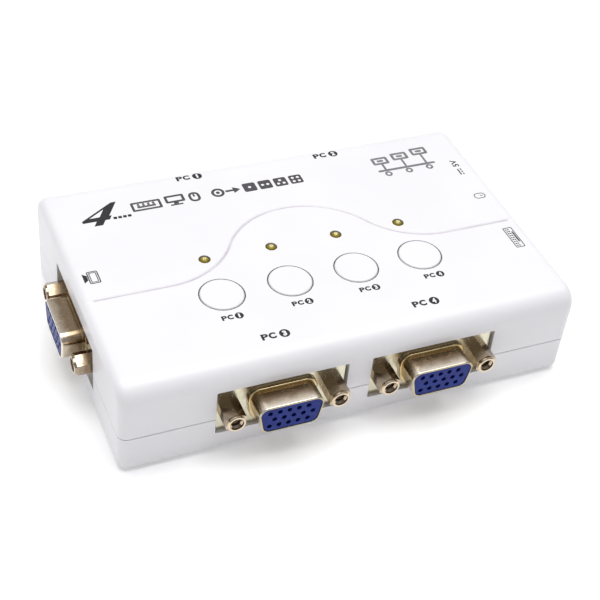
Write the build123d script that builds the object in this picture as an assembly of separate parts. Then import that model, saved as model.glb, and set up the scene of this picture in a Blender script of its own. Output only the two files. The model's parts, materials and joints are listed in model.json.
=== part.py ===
from build123d import *
import os
from math import sqrt

# A four-port KVM switch: a flat two-part plastic box with a circuit board inside, two VGA sockets on
# the front, two on the back, the monitor's VGA socket on the left end, and the DC jack and two USB
# sockets on the right end. Four sprung buttons and four LEDs are in the top.
#
# Everything is drawn in the casing's own frame: X along the long front edge, the front face looking
# towards -Y, Z up, and z = 0 on the underside of the casing. save() moves each node to the part's
# origin, which is the bottom centre of the whole box that the part fills, with the feet on z = 0.

# ---------------------------------------------------------------- casing
CASE_W = 112.8          # long side, along X
CASE_D = 73.0           # front to back, along Y
CASE_H = 23.9           # height without the feet
WALL = 2.0
TOP_EDGE_R = 4.8        # soft long edges of the top
END_EDGE_R = 2.3        # upright corners and the short edges of the top
BASE_EDGE_R = 1.0
PARTING_Z = 9.44        # middle of the joint line
REVEAL = 0.24           # shadow gap along the joint line
LIP_T = 0.9             # lip of the lower cover, inside the joint
LIP_H = 1.6
LIP_GAP = 0.08
BOSS_X = 50.4           # case screws
BOSS_Y = 30.6
BOSS_R = 4.2
UPPER_BOSS_R = 3.2
BOSS_MEET_Z = 6.0       # where the bosses of the two covers meet
RIB_T = 1.2
RIB_H = 2.5
RIB_YS = (-24.0, 16.0)

# S-shaped groove in the top: straight, dip, hump, dip, straight, all tangent
GROOVE_Y = -6.4         # the straight ends
GROOVE_X = 0.5          # middle of the hump
GROOVE_R = 20.75
GROOVE_RISE = 20.0
GROOVE_W = 1.0
GROOVE_DEPTH = 0.32

# ---------------------------------------------------------------- circuit board
BOARD_W = 107.6
BOARD_D = 67.8
BOARD_T = 1.6
BOARD_Z = 3.55          # underside
BOARD_TOP = BOARD_Z + BOARD_T
BOARD_NOTCH = 8.4       # square corners cut out for the case screws
BOARD_SCREW_X = 38.5
BOARD_SCREW_Y = 26.0
TAIL_PROUD = 1.0        # how far soldered tails stand below the board
TAIL_HOLE_R = 0.5

# ---------------------------------------------------------------- buttons, switches and LEDs
CONTROL_PITCH = 16.88
CONTROL_COUNT = 4
BUTTON_X = 0.3          # middle of the row of buttons
BUTTON_Y = -12.6
BUTTON_R = 5.2
BUTTON_GAP = 0.3
BUTTON_PROUD = 0.25
BUTTON_TRAVEL = 0.3
COLLAR_R = 6.2
COLLAR_T = 0.9
SKIRT_R = 6.6           # guide ring under each button hole
SKIRT_T = 1.0
SKIRT_H = 4.0
STEM_R = 2.4
STEM_WEB = 1.2
SWITCH_SIDE = 6.0       # tactile switch
SWITCH_BASE_H = 3.2
SWITCH_H = 5.0          # with its plunger
SWITCH_CAVITY_R = 2.6
SWITCH_CAVITY_H = 1.75
SWITCH_STEEL = 0.25
DOME_RISE = 0.45        # snap dome under the plunger
DOME_T = 0.12
PLUNGER_R = 1.7
PLUNGER_FLANGE_T = 0.7
PLUNGER_GAP = 0.1       # left between plunger and dome with the button fully down
LED_X = 0.52            # middle of the row of LEDs
LED_Y = 0.3
LED_R = 1.4
LED_GAP = 0.05
LED_H = 5.3
LED_FLANGE_R = 1.9
LED_FLANGE_T = 1.0
LED_PROUD = 0.35
LED_LEAD_PITCH = 2.54
LED_LEAD = 0.5

# ---------------------------------------------------------------- VGA sockets
VGA_PITCH = 37.5        # between the two sockets of one side
VGA_X = 0.3             # middle between the two sockets of one side
VGA_Z = 11.35           # height of the socket's middle
VGA_PROUD = 5.5         # how far the shell stands out of the wall
MONITOR_Y = 0.1
MONITOR_SET = 0.5       # how much deeper the left socket sits in its wall
CUTOUT_W = 31.6
CUTOUT_H = 12.75
FLANGE_W = 30.8
FLANGE_H = 12.5
FLANGE_T = 0.9
FLANGE_SET = 0.9        # how far the flange lies behind the wall's outer face
SHELL_W = 16.3          # D-shaped shell: wide side up
SHELL_H = 7.9
SHELL_SLOPE = 1.4       # how much narrower each side is at the bottom
SHELL_R = 2.2
SHELL_T = 0.4
STEP_W = 0.7            # raised step round the shell's root
STEP_H = 1.0
SCREW_PITCH = 24.99     # between the jackscrews, as on every socket of this size
HEX_AF = 4.75
HEX_PROUD = 4.4
HEX_TURNED = 0.6        # round, turned front end
THREAD_R = 1.2          # threaded hole for the cable's thumbscrew
MOUTH_R = 1.65          # wide mouth of the hole
MOUTH_L = 0.5
MOUTH_TAPER = 0.4
SHANK_R = 1.4
SHANK_L = 5.6
PIN_PITCH = 2.29
ROW_PITCH = 1.98
PIN_HOLE_R = 0.6
PIN_SIDE = 0.6
WING_L = 4.0            # insulator's base behind the flange
WING_H = 11.6
REAR_W = 18.4
REAR_L = 4.0
TAIL_PITCH = 2.0
FACE_SET = 0.12         # insulator's face behind the shell's edge

# ---------------------------------------------------------------- USB sockets and DC jack
MOUSE_Y = 4.5
KEYBOARD_Y = -13.1
USB_W = 13.1
USB_H = 5.7
USB_L = 14.0
USB_T = 0.3
USB_R = 0.7
USB_LIP = 0.45          # flared rim at the mouth
USB_SET = 0.3           # rim behind the wall's outer face
USB_STAND = 0.45        # shell above the board
USB_Z = BOARD_TOP + USB_STAND + USB_H / 2
USB_CUT_W = 14.5
USB_CUT_H = 7.1
USB_BLOCK_L = 3.6       # plastic block that closes the back
TONGUE_W = 11.1
TONGUE_T = 1.84
USB_PINS = (-3.5, -1.0, 1.0, 3.5)
USB_PIN_W = 1.0
USB_PIN_T = 0.25
JACK_Y = 17.6
JACK_W = 9.0
JACK_H = 10.6
JACK_L = 12.0
JACK_Z = BOARD_TOP + 6.2
JACK_NOSE_R = 3.9
JACK_BORE_R = 3.15
JACK_BORE_L = 9.5
JACK_PIN_R = 1.0
JACK_HOLE_GAP = 0.15

# ---------------------------------------------------------------- what is on the board
VIDEO_CHIP_SPOTS = [(-30.0, 10.5), (-14.0, 10.5), (2.0, 10.5)]
VIDEO_CHIP = (10.0, 5.3, 1.7)        # width, depth, height
CONTROLLER_SPOT = (20.0, 10.0)
CONTROLLER = (12.8, 7.5, 2.2)
CHIP_LEG_PITCH = 1.1
VIDEO_CHIP_LEGS = 8
CONTROLLER_LEGS = 10
CRYSTAL_SPOT = (20.0, 18.6)
REGULATOR_SPOT = (33.0, 20.0)
CAPACITOR_SPOTS = [(34.5, 11.0), (34.5, 3.5), (-35.5, -19.5)]
CAPACITOR_R = 2.5
CAPACITOR_H = 7.0
JACK_TAIL_W = 2.0

# ---------------------------------------------------------------- screws and feet
CASE_SCREW_R = 1.15
CASE_SCREW_L = 11.0
CASE_HEAD_R = 2.5
CASE_HEAD_T = 1.7
CASE_SINK_R = 2.9       # sunk seat for the head
CASE_SINK_H = 2.5
BOARD_POST_R = 3.0
BOARD_THREAD_R = 1.1
BOARD_SHANK_L = 4.0
BOARD_HEAD_R = 2.3
BOARD_HEAD_T = 1.5
SCREW_CLEAR = 0.05
FOOT_X = 44.5
FOOT_Y = 24.5
FOOT_R = 4.5
FOOT_H = 1.0            # proud of the casing
FOOT_SINK = 0.3
FOOT_EDGE_R = 0.35

OVER = 1.0              # how far a cut runs past the face that it opens

CASE_X = (VGA_PROUD - MONITOR_SET) / 2  # the left socket stands out, so the casing sits this far right
PLACE = Location((CASE_X, 0, FOOT_H))

BUTTON_XS = [BUTTON_X + (i - 1.5) * CONTROL_PITCH for i in range(CONTROL_COUNT)]
LED_XS = [LED_X + (i - 1.5) * CONTROL_PITCH for i in range(CONTROL_COUNT)]
CORNERS = [(-1, -1), (1, -1), (1, 1), (-1, 1)]

# Where each socket's own frame goes. In it the socket looks towards -Y, y = 0 is the outer face of
# the wall, and z = 0 is the socket's middle height.
VGA_PLACES = {
    "pc1": Location((VGA_X - VGA_PITCH / 2, CASE_D / 2, VGA_Z), (0, 0, 180)),
    "pc2": Location((VGA_X + VGA_PITCH / 2, CASE_D / 2, VGA_Z), (0, 0, 180)),
    "pc3": Location((VGA_X - VGA_PITCH / 2, -CASE_D / 2, VGA_Z)),
    "pc4": Location((VGA_X + VGA_PITCH / 2, -CASE_D / 2, VGA_Z)),
    "monitor": Location((MONITOR_SET - CASE_W / 2, MONITOR_Y, VGA_Z), (0, 0, -90)),
}
USB_PLACES = {
    "mouse_usb": Location((CASE_W / 2, MOUSE_Y, USB_Z), (0, 0, 90)),
    "keyboard_usb": Location((CASE_W / 2, KEYBOARD_Y, USB_Z), (0, 0, 90)),
}
JACK_PLACE = Location((CASE_W / 2, JACK_Y, JACK_Z), (0, 0, 90))


# ---------------------------------------------------------------- small helpers
def slab(width, depth, height, z=0.0, x=0.0, y=0.0):
    """Box that stands on height z."""
    return Pos(x, y, z + height / 2) * Box(width, depth, height)


def post(radius, height, z=0.0, x=0.0, y=0.0):
    """Upright cylinder that stands on height z."""
    return Pos(x, y, z + height / 2) * Cylinder(radius, height)


def rod(radius, y_front, y_back, x=0.0, z=0.0):
    """Cylinder that lies along Y."""
    return Pos(x, (y_front + y_back) / 2, z) * Rot(90, 0, 0) * Cylinder(radius, y_back - y_front)


def bar(width, height, y_front, y_back, x=0.0, z=0.0, radius=0.0):
    """Rectangular bar that lies along Y, with rounded long edges if a radius is given."""
    outline = RectangleRounded(width, height, radius) if radius else Rectangle(width, height)
    return Pos(x, 0, z) * prism(outline, y_front, y_back)


def prism(outline, y_front, y_back):
    """Outline drawn as seen from the front, drawn out between two depths."""
    return extrude(Plane.XZ.offset(-y_back) * outline, y_back - y_front)


def d_outline(grow=0.0):
    """Outline of the VGA shell, wide side up, grown or shrunk all round."""
    half_w = SHELL_W / 2 + grow
    half_h = SHELL_H / 2 + grow
    points = [
        (-half_w + SHELL_SLOPE, -half_h),
        (half_w - SHELL_SLOPE, -half_h),
        (half_w, half_h),
        (-half_w, half_h),
    ]
    outline = Polygon(*points, align=None)
    return fillet(outline.vertices(), SHELL_R + grow)


def board_spot(place, x, y):
    """Point on the board, as (x, y), of a point in a socket's own frame."""
    spot = (place * Pos(x, y, 0)).position
    return spot.X, spot.Y


def save(node, parts):
    """Write one node, as a group of its separate solids, in the part's own frame."""
    solids = [solid for part in parts for solid in part.solids()]
    export_step(Compound(solids).moved(PLACE), f"parts/{node}.step")


# ---------------------------------------------------------------- casing
def casing_block():
    """Outer form of the two covers together."""
    block = slab(CASE_W, CASE_D, CASE_H)
    block = fillet(block.edges().filter_by(Axis.X).group_by(Axis.Z)[-1], TOP_EDGE_R)
    ends = block.faces().sort_by(Axis.X)
    end_edges = [edge for end in (ends[0], ends[-1]) for edge in end.edges() if edge.center().Z > 0.01]
    block = fillet(end_edges, END_EDGE_R)
    return fillet(block.faces().sort_by(Axis.Z)[0].edges(), BASE_EDGE_R)


def cavity_block():
    """Inner hollow of the two covers together."""
    block = slab(CASE_W - 2 * WALL, CASE_D - 2 * WALL, CASE_H - 2 * WALL, WALL)
    return fillet(block.edges().filter_by(Axis.X).group_by(Axis.Z)[-1], TOP_EDGE_R - WALL)


def ring(inset_outer, inset_inner, z_low, z_high):
    """Frame that follows the casing's outline, between two insets from its outer face."""
    outer_r = max(END_EDGE_R - inset_outer, 0.3)
    outer = RectangleRounded(CASE_W - 2 * inset_outer, CASE_D - 2 * inset_outer, outer_r)
    inner = Rectangle(CASE_W - 2 * inset_inner, CASE_D - 2 * inset_inner)
    return Pos(0, 0, z_low) * extrude(outer - inner, z_high - z_low)


def socket_cutouts():
    """Openings in the walls, shared by both covers."""
    depth = WALL + OVER
    vga = bar(CUTOUT_W, CUTOUT_H, -OVER, depth, radius=0.4)
    usb = bar(USB_CUT_W, USB_CUT_H, -OVER, depth, radius=0.8)
    jack = rod(JACK_NOSE_R + JACK_HOLE_GAP, -OVER, depth)
    cuts = [place * vga for place in VGA_PLACES.values()]
    cuts += [place * usb for place in USB_PLACES.values()]
    cuts.append(JACK_PLACE * jack)
    return cuts


def groove():
    """Shallow V-shaped groove that runs in an S along the top, from end to end."""
    reach = sqrt(4 * GROOVE_R * GROOVE_RISE - GROOVE_RISE**2)
    left = GROOVE_X - reach
    right = GROOVE_X + reach
    top = (GROOVE_X, GROOVE_Y + GROOVE_RISE)
    turn_y = GROOVE_Y + GROOVE_RISE / 2
    turn_left = (GROOVE_X - reach / 2, turn_y)
    turn_right = (GROOVE_X + reach / 2, turn_y)
    path = [
        Line((-CASE_W / 2 - OVER, GROOVE_Y), (left, GROOVE_Y)),
        TangentArc((left, GROOVE_Y), turn_left, tangent=(1, 0)),
        ThreePointArc(turn_left, top, turn_right),
        TangentArc((right, GROOVE_Y), turn_right, tangent=(-1, 0)),
        Line((right, GROOVE_Y), (CASE_W / 2 + OVER, GROOVE_Y)),
    ]
    half = GROOVE_W / 2 * (1 + OVER / GROOVE_DEPTH)
    start = Plane(origin=(-CASE_W / 2 - OVER, GROOVE_Y, 0), x_dir=(0, 1, 0), z_dir=(1, 0, 0))
    section = start * Polygon((-half, OVER), (half, OVER), (0, -GROOVE_DEPTH), align=None)
    return Pos(0, 0, CASE_H) * sweep(section, path=Wire(path))


def upper_additions():
    """Screw bosses, ribs and the guide rings of the buttons, all hanging from the top."""
    ceiling = CASE_H - WALL
    boss_h = ceiling + WALL / 2 - BOSS_MEET_Z
    parts = []
    for sx, sy in CORNERS:
        parts.append(post(UPPER_BOSS_R, boss_h, BOSS_MEET_Z, sx * BOSS_X, sy * BOSS_Y))
    for y in RIB_YS:
        parts.append(slab(CASE_W - 2 * WALL, RIB_T, RIB_H, ceiling - RIB_H, 0, y))
    for x in BUTTON_XS:
        tube = post(SKIRT_R + SKIRT_T, SKIRT_H, ceiling - SKIRT_H, x, BUTTON_Y)
        parts.append(tube)
    return parts


def upper_cover():
    """Top shell."""
    low = PARTING_Z + REVEAL / 2
    lip_top = PARTING_Z - REVEAL / 2 + LIP_H
    cover = casing_block() - slab(2 * CASE_W, 2 * CASE_D, low + OVER, -OVER) - cavity_block()
    cover -= ring(WALL - LIP_T - LIP_GAP, WALL + OVER, low - OVER, lip_top)
    cover += upper_additions()
    cuts = socket_cutouts() + [groove()]
    for x in BUTTON_XS:
        cuts.append(post(BUTTON_R + BUTTON_GAP, CASE_H + OVER, 0, x, BUTTON_Y))
        cuts.append(post(SKIRT_R, CASE_H - WALL, 0, x, BUTTON_Y))
    for x in LED_XS:
        cuts.append(post(LED_R + LED_GAP, CASE_H + OVER, 0, x, LED_Y))
    for sx, sy in CORNERS:
        pilot_top = CASE_SINK_H + CASE_SCREW_L + OVER
        cuts.append(post(CASE_SCREW_R + SCREW_CLEAR, pilot_top, 0, sx * BOSS_X, sy * BOSS_Y))
    return cover - cuts


def lower_cover():
    """Bottom tray with the joint lip, screw bosses and board posts."""
    high = PARTING_Z - REVEAL / 2
    tray = casing_block() - slab(2 * CASE_W, 2 * CASE_D, CASE_H, high) - cavity_block()
    lip = ring(WALL - LIP_T, WALL, high, high + LIP_H)
    additions = [lip]
    for sx, sy in CORNERS:
        additions.append(post(BOSS_R, BOSS_MEET_Z - WALL / 2, WALL / 2, sx * BOSS_X, sy * BOSS_Y))
        board_post = post(BOARD_POST_R, BOARD_Z - WALL / 2, WALL / 2, sx * BOARD_SCREW_X, sy * BOARD_SCREW_Y)
        additions.append(board_post)
    tray += additions
    cuts = socket_cutouts()
    for sx, sy in CORNERS:
        x = sx * BOSS_X
        y = sy * BOSS_Y
        cuts.append(post(CASE_SINK_R, CASE_SINK_H + OVER, -OVER, x, y))
        cuts.append(post(CASE_SCREW_R + 2 * SCREW_CLEAR, CASE_H, 0, x, y))
        pilot_low = BOARD_TOP - BOARD_SHANK_L - 0.3
        pilot_r = BOARD_THREAD_R + SCREW_CLEAR
        cuts.append(post(pilot_r, BOARD_Z, pilot_low, sx * BOARD_SCREW_X, sy * BOARD_SCREW_Y))
        cuts.append(post(FOOT_R + 0.15, FOOT_SINK + OVER, -OVER, sx * FOOT_X, sy * FOOT_Y))
    return tray - cuts


def cross_recess(depth):
    """Cross-shaped driver recess, cut upwards from z = 0."""
    return slab(2.6, 0.55, depth) + slab(0.55, 2.6, depth)


def pan_screw(head_r, head_t, shank_r, shank_l):
    """Screw that stands on its head, with its shank up; its head's seat is at z = head_t."""
    head = post(head_r, head_t)
    head = fillet(head.faces().sort_by(Axis.Z)[0].edges(), head_t * 0.55)
    shank = post(shank_r, shank_l, head_t)
    shank = chamfer(shank.faces().sort_by(Axis.Z)[-1].edges(), shank_r * 0.6)
    return head + shank - Pos(0, 0, -0.01) * cross_recess(head_t * 0.6)


def case_screws():
    """Self-tapping screws that hold the covers together, from below."""
    screw = pan_screw(CASE_HEAD_R, CASE_HEAD_T, CASE_SCREW_R, CASE_SCREW_L)
    seat = CASE_SINK_H - CASE_HEAD_T
    return [Pos(sx * BOSS_X, sy * BOSS_Y, seat) * screw for sx, sy in CORNERS]


def board_screws():
    """Screws that hold the board on its posts, heads up."""
    screw = Rot(180, 0, 0) * pan_screw(BOARD_HEAD_R, BOARD_HEAD_T, BOARD_THREAD_R, BOARD_SHANK_L)
    height = BOARD_TOP + BOARD_HEAD_T
    return [Pos(sx * BOARD_SCREW_X, sy * BOARD_SCREW_Y, height) * screw for sx, sy in CORNERS]


def rubber_feet():
    """Round stick-on feet, sunk a little into the underside."""
    foot = post(FOOT_R, FOOT_H + FOOT_SINK, -FOOT_H)
    foot = fillet(foot.faces().sort_by(Axis.Z)[0].edges(), FOOT_EDGE_R)
    return [Pos(sx * FOOT_X, sy * FOOT_Y, 0) * foot for sx, sy in CORNERS]


# ---------------------------------------------------------------- buttons and switches
def button(x):
    """Button cap with a slightly crowned face, a collar under the top and a cross-ribbed stem."""
    crown_z = CASE_H + BUTTON_PROUD
    collar_top = CASE_H - WALL - SCREW_CLEAR
    collar_low = collar_top - COLLAR_T
    plunger_top = BOARD_TOP + SWITCH_H
    cap = post(BUTTON_R, crown_z - collar_low, collar_low)
    cap = fillet(cap.faces().sort_by(Axis.Z)[-1].edges(), 0.45)
    cap += post(COLLAR_R, COLLAR_T, collar_low)
    stem_h = collar_low - plunger_top
    web_x = slab(2 * STEM_R, STEM_WEB, stem_h, plunger_top)
    web_y = slab(STEM_WEB, 2 * STEM_R, stem_h, plunger_top)
    toe = post(STEM_R, STEM_WEB, plunger_top)
    return Pos(x, BUTTON_Y, 0) * (cap + web_x + web_y + toe)


def switch_base(x):
    """Moulded base of a tactile switch, with the round cavity of its dome."""
    base = slab(SWITCH_SIDE, SWITCH_SIDE, SWITCH_BASE_H, BOARD_TOP)
    base = chamfer(base.edges().filter_by(Axis.Z), 0.4)
    cavity_z = BOARD_TOP + SWITCH_BASE_H - SWITCH_CAVITY_H
    return Pos(x, BUTTON_Y, 0) * (base - post(SWITCH_CAVITY_R, SWITCH_BASE_H, cavity_z))


def switch_frame(x):
    """Stamped steel lid of a tactile switch, with a clip down each side."""
    lid_z = BOARD_TOP + SWITCH_BASE_H
    depth = SWITCH_SIDE + 2 * SWITCH_STEEL
    hole = post(PLUNGER_R + 0.15, 3 * SWITCH_STEEL, lid_z - SWITCH_STEEL)
    lid = slab(SWITCH_SIDE, depth, SWITCH_STEEL, lid_z) - hole
    clip_h = SWITCH_BASE_H * 0.6
    offset = (SWITCH_SIDE + SWITCH_STEEL) / 2
    clips = [slab(2.4, SWITCH_STEEL, clip_h, lid_z - clip_h, 0, side * offset) for side in (-1, 1)]
    return Pos(x, BUTTON_Y, 0) * (lid + clips)


def switch_dome(x):
    """Thin snap dome on the floor of the switch's cavity."""
    floor = BOARD_TOP + SWITCH_BASE_H - SWITCH_CAVITY_H
    base_r = SWITCH_CAVITY_R - 0.3
    sphere_r = (base_r**2 + DOME_RISE**2) / (2 * DOME_RISE)
    dome = Sphere(sphere_r) - Sphere(sphere_r - DOME_T)
    dome = Pos(0, 0, floor + DOME_RISE - sphere_r) * dome
    return Pos(x, BUTTON_Y, 0) * (dome & post(SWITCH_CAVITY_R, 1.0, floor))


def switch_plunger(x):
    """Plunger of a tactile switch: a flange held under the steel lid, and a round stem."""
    dome_top = BOARD_TOP + SWITCH_BASE_H - SWITCH_CAVITY_H + DOME_RISE
    flange_z = dome_top + BUTTON_TRAVEL + PLUNGER_GAP
    flange = post(SWITCH_CAVITY_R - 0.35, PLUNGER_FLANGE_T, flange_z)
    stem = post(PLUNGER_R, BOARD_TOP + SWITCH_H - flange_z, flange_z)
    return Pos(x, BUTTON_Y, 0) * (flange + stem)


# ---------------------------------------------------------------- LEDs
def led(x):
    """Round 3 mm LED whose domed lens just stands out of the top."""
    tip = CASE_H + LED_PROUD
    base = tip - LED_H
    lens = post(LED_R, LED_H - LED_R, base) + Pos(0, 0, tip - LED_R) * Sphere(LED_R)
    return Pos(x, LED_Y, 0) * (lens + post(LED_FLANGE_R, LED_FLANGE_T, base))


def led_leads(x):
    """Two straight leads from an LED down through the board."""
    low = BOARD_Z - TAIL_PROUD
    height = CASE_H + LED_PROUD - LED_H - low
    half = LED_LEAD_PITCH / 2
    return [slab(LED_LEAD, LED_LEAD, height, low, x + side * half, LED_Y) for side in (-1, 1)]


# ---------------------------------------------------------------- VGA sockets
def vga_rows():
    """Each contact of a VGA socket as (x, z, depth of its tail), row by row from the top."""
    contacts = []
    for row in range(3):
        shift = PIN_PITCH / 4 if row == 1 else -PIN_PITCH / 4
        z = (1 - row) * ROW_PITCH
        tail_y = FLANGE_SET + FLANGE_T + WING_L + REAR_L + PIN_SIDE + (2 - row) * TAIL_PITCH
        for column in range(5):
            contacts.append(((column - 2) * PIN_PITCH + shift, z, tail_y))
    return contacts


def vga_shell():
    """Stamped D-shaped shell in one piece with its flange and the step between them."""
    back = FLANGE_SET + FLANGE_T
    tube = prism(d_outline(), -VGA_PROUD, back)
    tube = fillet(tube.faces().sort_by(Axis.Y)[0].edges(), SHELL_T * 0.6)
    step = prism(d_outline(STEP_W), FLANGE_SET - STEP_H, back)
    step = fillet(step.faces().sort_by(Axis.Y)[0].edges(), 0.3)
    plate = bar(FLANGE_W, FLANGE_H, FLANGE_SET, back, radius=1.0)
    shell = plate + step + tube
    cuts = [prism(d_outline(-SHELL_T), -VGA_PROUD - OVER, back + OVER)]
    for side in (-1, 1):
        cuts.append(rod(SHANK_R + SCREW_CLEAR, 0, back + OVER, side * SCREW_PITCH / 2))
    return shell - cuts


def vga_insulator():
    """D-shaped block inside the shell, with its fifteen contact holes."""
    flange_back = FLANGE_SET + FLANGE_T
    face = prism(d_outline(-SHELL_T - 0.03), -VGA_PROUD + FACE_SET, flange_back)
    face = fillet(face.faces().sort_by(Axis.Y)[0].edges(), 0.25)
    return face - [rod(PIN_HOLE_R, -VGA_PROUD - OVER, flange_back + OVER, x, z) for x, z, _ in vga_rows()]


def vga_base():
    """Moulded base behind the flange: two wings and a rear block that stands on the board."""
    flange_back = FLANGE_SET + FLANGE_T
    wing_back = flange_back + WING_L
    rear_back = wing_back + REAR_L
    board_z = BOARD_TOP - VGA_Z
    wings = bar(FLANGE_W - 0.8, WING_H, flange_back, wing_back, radius=0.8)
    rear_h = WING_H / 2 - 0.6 - board_z
    rear = bar(REAR_W, rear_h, wing_back, rear_back, z=board_z + rear_h / 2)
    cuts = [rod(PIN_HOLE_R, 0, rear_back + OVER, x, z) for x, z, _ in vga_rows()]
    for side in (-1, 1):
        cuts.append(rod(SHANK_R + SCREW_CLEAR, 0, wing_back + OVER, side * SCREW_PITCH / 2))
    return wings + rear - cuts


def vga_contacts():
    """Fifteen contacts, each from just behind the face to its tail under the board."""
    low = BOARD_Z - TAIL_PROUD - VGA_Z
    front = -VGA_PROUD + FACE_SET + 1.2
    contacts = []
    for x, z, tail_y in vga_rows():
        pin = bar(PIN_SIDE, PIN_SIDE, front, tail_y + PIN_SIDE / 2, x, z)
        contacts.append(pin + slab(PIN_SIDE, PIN_SIDE, z - low, low, x, tail_y))
    return contacts


def jackscrew(side):
    """Hex jackscrew: turned front end, threaded hole with a wide mouth, shank through the flange."""
    x = side * SCREW_PITCH / 2
    hexagon = RegularPolygon(HEX_AF / 2, 6, major_radius=False, rotation=30)
    body = prism(hexagon, -HEX_PROUD + HEX_TURNED, FLANGE_SET)
    turned = rod(HEX_AF / 2 - 0.15, -HEX_PROUD, -HEX_PROUD + HEX_TURNED)
    turned = chamfer(turned.faces().sort_by(Axis.Y)[0].edges(), 0.15)
    shank = rod(SHANK_R, FLANGE_SET, FLANGE_SET + SHANK_L)
    bore_back = FLANGE_SET - 0.6
    mouth_back = -HEX_PROUD + MOUTH_L
    mouth = rod(MOUTH_R, -HEX_PROUD - OVER, mouth_back)
    taper = Pos(0, mouth_back + MOUTH_TAPER / 2, 0) * Rot(90, 0, 0) * Cone(THREAD_R, MOUTH_R, MOUTH_TAPER)
    screw = body + turned + shank - [rod(THREAD_R, -HEX_PROUD - OVER, bore_back), mouth, taper]
    return Pos(x, 0, 0) * screw


# ---------------------------------------------------------------- USB sockets
def usb_shell():
    """Folded steel shell with a flared rim and two short legs on each side."""
    front = USB_SET
    back = front + USB_L
    tube = bar(USB_W, USB_H, front, back, radius=USB_R)
    rim = bar(USB_W + 2 * USB_LIP, USB_H + 2 * USB_LIP, front, front + USB_T, radius=USB_R + USB_LIP)
    hollow = bar(USB_W - 2 * USB_T, USB_H - 2 * USB_T, front - OVER, back + OVER, radius=USB_R - USB_T)
    leg_z = BOARD_TOP - USB_Z
    legs = []
    for side in (-1, 1):
        for y in (4.5, 11.5):
            legs.append(slab(USB_T, 1.8, USB_H / 2 + USB_STAND, leg_z, side * (USB_W - USB_T) / 2, y))
    return tube + rim + legs - hollow


def usb_tongue():
    """Plastic back block with the tongue that carries the contacts on its lower side."""
    back = USB_SET + USB_L
    inner_w = USB_W - 2 * USB_T - 0.1
    inner_h = USB_H - 2 * USB_T - 0.1
    block = bar(inner_w, inner_h, back - USB_BLOCK_L, back, radius=USB_R - USB_T)
    tongue_z = inner_h / 2 - 0.75 - TONGUE_T / 2
    tongue = bar(TONGUE_W, TONGUE_T, USB_SET + 1.0, back - USB_BLOCK_L, z=tongue_z)
    tongue = chamfer(tongue.faces().sort_by(Axis.Y)[0].edges().filter_by(Axis.X), 0.4)
    strip_z = tongue_z - TONGUE_T / 2 - USB_PIN_T / 2
    slots = [bar(USB_PIN_W + 0.1, USB_PIN_T + 0.1, 5, back + OVER, x, strip_z - 0.05) for x in USB_PINS]
    return block + tongue - slots


def usb_contacts():
    """Four contact strips under the tongue, each with its tail behind the shell."""
    back = USB_SET + USB_L
    inner_h = USB_H - 2 * USB_T - 0.1
    strip_z = inner_h / 2 - 0.75 - TONGUE_T - USB_PIN_T / 2
    low = BOARD_Z - TAIL_PROUD - USB_Z
    contacts = []
    for x in USB_PINS:
        strip = bar(USB_PIN_W, USB_PIN_T, USB_SET + 2.2, back + 0.9, x, strip_z)
        tail = slab(LED_LEAD, USB_PIN_T, strip_z - low, low, x, back + 0.775)
        contacts.append(strip + tail)
    return contacts


# ---------------------------------------------------------------- DC jack
def dc_jack_housing():
    """Black housing with a round nose and the bore for the plug."""
    front = 0.2
    block_front = WALL + 0.1
    height_z = BOARD_TOP - JACK_Z
    block = bar(JACK_W, JACK_H, block_front, block_front + JACK_L, z=height_z + JACK_H / 2)
    block = chamfer(block.edges().filter_by(Axis.Y).group_by(Axis.Z)[-1], 1.2)
    nose = rod(JACK_NOSE_R, front, block_front + 1)
    nose = chamfer(nose.faces().sort_by(Axis.Y)[0].edges(), 0.3)
    bore = rod(JACK_BORE_R, front - OVER, front + JACK_BORE_L)
    pin_hole = rod(JACK_PIN_R + SCREW_CLEAR, 0, block_front + JACK_L + OVER)
    return block + nose - [bore, pin_hole]


def dc_jack_pin():
    """Round centre pin with a domed tip, riveted through the back of the housing."""
    back = WALL + 0.1 + JACK_L
    pin = rod(JACK_PIN_R, 1.0, back + 0.6)
    return fillet(pin.faces().sort_by(Axis.Y)[0].edges(), JACK_PIN_R * 0.8)


def dc_jack_contacts():
    """Flat tails of the DC jack: two at its back and one at its side, down through the board."""
    back = WALL + 0.1 + JACK_L
    low = BOARD_Z - TAIL_PROUD - JACK_Z
    board_z = BOARD_TOP - JACK_Z
    pin_tail = slab(JACK_TAIL_W, 0.4, -JACK_PIN_R - 0.1 - low, low, 0, back + 0.3)
    sleeve_tail = slab(JACK_TAIL_W, 0.4, 4.0 + board_z - low, low, 3.2, back + 0.3)
    side_tail = slab(0.4, JACK_TAIL_W, 3.0 + board_z - low, low, -JACK_W / 2 - 0.2, back - 5.0)
    return [pin_tail, sleeve_tail, side_tail]


# ---------------------------------------------------------------- board and what is on it
def chip_legs(body_w, body_d, legs, pitch):
    """Gull-wing legs along both long sides of a chip that lies at the origin."""
    made = []
    for side in (-1, 1):
        for i in range(legs):
            x = (i - (legs - 1) / 2) * pitch
            edge = body_d / 2
            stub = slab(0.3, 0.5, 0.2, BOARD_TOP + 0.8, x, side * (edge + 0.25))
            drop = slab(0.3, 0.2, 1.0, BOARD_TOP, x, side * (edge + 0.4))
            foot = slab(0.3, 0.7, 0.2, BOARD_TOP, x, side * (edge + 0.65))
            made.append(stub + drop + foot)
    return made


def chip_body(width, depth, height):
    """Moulded chip body, just above the board, with bevelled long edges and a pin-one dimple."""
    body = slab(width, depth, height, BOARD_TOP + 0.1)
    body = chamfer(body.edges().filter_by(Axis.X).group_by(Axis.Z)[-1], 0.25)
    dimple = post(0.4, 1.0, BOARD_TOP + height, -width / 2 + 1.0, -depth / 2 + 1.0)
    return body - dimple


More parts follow.
